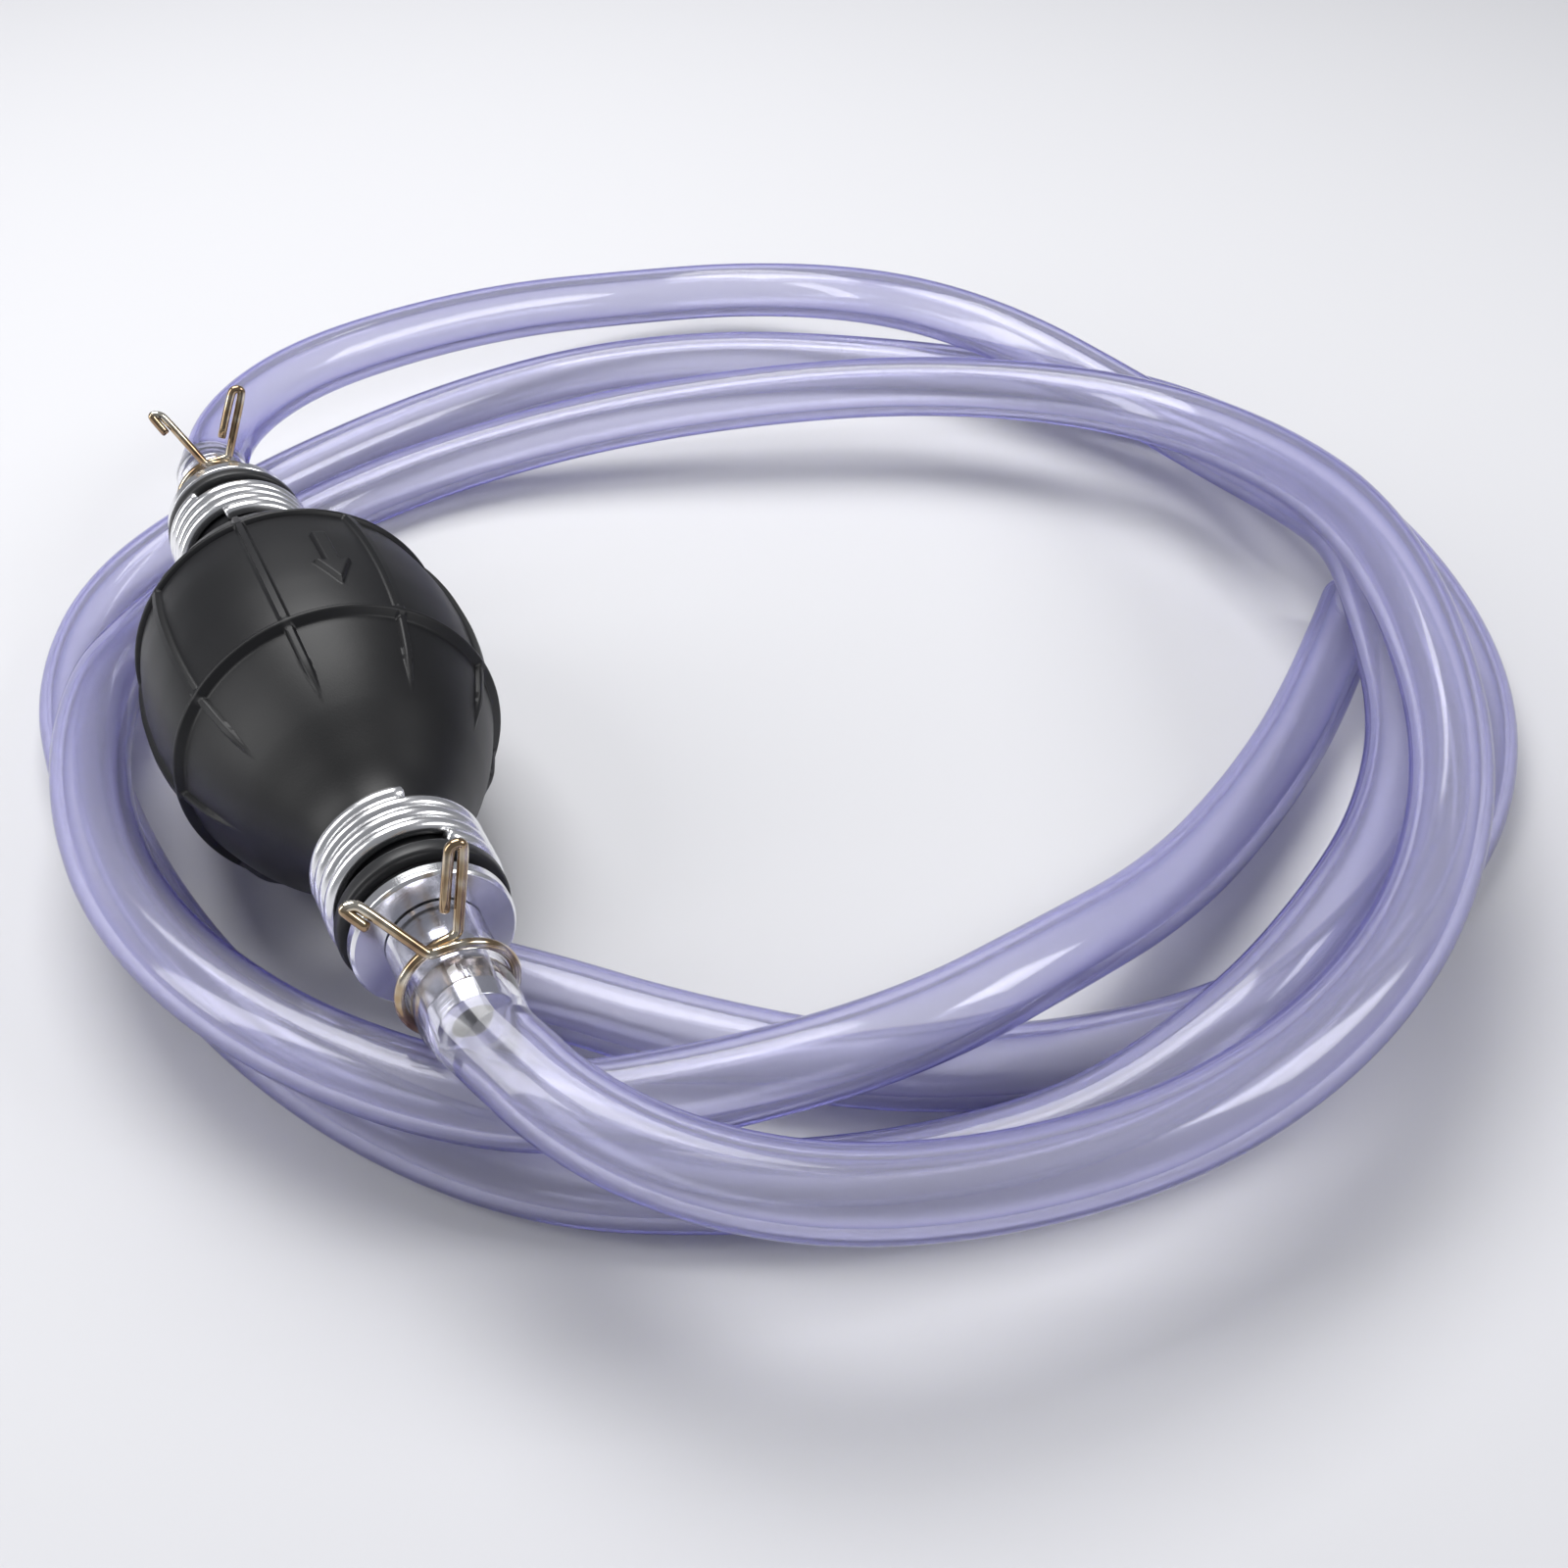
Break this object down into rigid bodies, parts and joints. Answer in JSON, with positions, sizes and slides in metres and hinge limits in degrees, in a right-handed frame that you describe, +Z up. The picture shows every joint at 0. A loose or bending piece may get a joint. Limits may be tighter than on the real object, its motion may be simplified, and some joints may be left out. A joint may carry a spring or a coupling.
{
  "type": "squeeze-bulb siphon pump with two hoses",
  "caption": "Hand squeeze-bulb siphon pump: black rubber bulb, wire-bound necks, metal barbed check-valve ends, spring clips and long coiled clear hoses.",
  "frame": {"origin": "on the floor, under the middle of the bulb", "axes": "+Z up, +Y from the outlet end toward the inlet end, +X toward the coils of hose"},
  "size_m": [0.2532, 0.2709, 0.052],
  "materials": {
    "bulb_rubber": "matte moulded black rubber, fine satin skin",
    "gasket_rubber": "plain black rubber ring",
    "fitting_aluminium": "bright turned aluminium",
    "coil_steel": "bright drawn steel wire",
    "clip_zinc": "yellow zinc plated spring wire",
    "seat_steel": "turned stainless ring",
    "valve_washer": "soft sealing washer",
    "poppet_plastic": "white moulded acetal",
    "guide_plastic": "white moulded acetal",
    "spring_steel": "fine stainless spring wire",
    "hose_pvc": "clear flexible PVC with a faint blue-violet tint"
  },
  "bodies": {
    "pump": {"bulb": "bulb_rubber", "outlet_fitting": "fitting_aluminium", "outlet_gasket": "gasket_rubber", "outlet_neck_coil": "coil_steel", "outlet_valve_seat": "seat_steel", "outlet_valve_guide": "guide_plastic", "outlet_valve_spring": "spring_steel", "outlet_hose": "hose_pvc", "inlet_fitting": "fitting_aluminium", "inlet_gasket": "gasket_rubber", "inlet_neck_coil": "coil_steel", "inlet_valve_seat": "seat_steel", "inlet_valve_guide": "guide_plastic", "inlet_valve_spring": "spring_steel", "inlet_hose": "hose_pvc"},
    "outlet_poppet": {"outlet_valve_poppet": "poppet_plastic", "outlet_valve_washer": "valve_washer"},
    "outlet_hose_clip": {"outlet_clip": "clip_zinc"},
    "inlet_poppet": {"inlet_valve_poppet": "poppet_plastic", "inlet_valve_washer": "valve_washer"},
    "inlet_hose_clip": {"inlet_clip": "clip_zinc"}
  },
  "joints": [
    {"name": "outlet_valve_lift", "type": "slide", "parent": "pump", "child": "outlet_poppet", "axis": [0, -0.9981, 0.061], "range_m": [0, 0.002], "stiffness_N_per_m": 40, "springref_m": -0.0005, "deforming": ["outlet_valve_spring"]},
    {"name": "outlet_clip_slide", "type": "slide", "parent": "pump", "child": "outlet_hose_clip", "axis": [0, -0.9981, 0.061], "range_m": [-0.004, 0.001]},
    {"name": "inlet_valve_lift", "type": "slide", "parent": "pump", "child": "inlet_poppet", "axis": [0, -0.9981, 0.061], "range_m": [0, 0.002], "stiffness_N_per_m": 40, "springref_m": -0.0005, "deforming": ["inlet_valve_spring"]},
    {"name": "inlet_clip_slide", "type": "slide", "parent": "pump", "child": "inlet_hose_clip", "axis": [0, 0.9981, -0.061], "range_m": [-0.003, 0.002]}
  ]
}
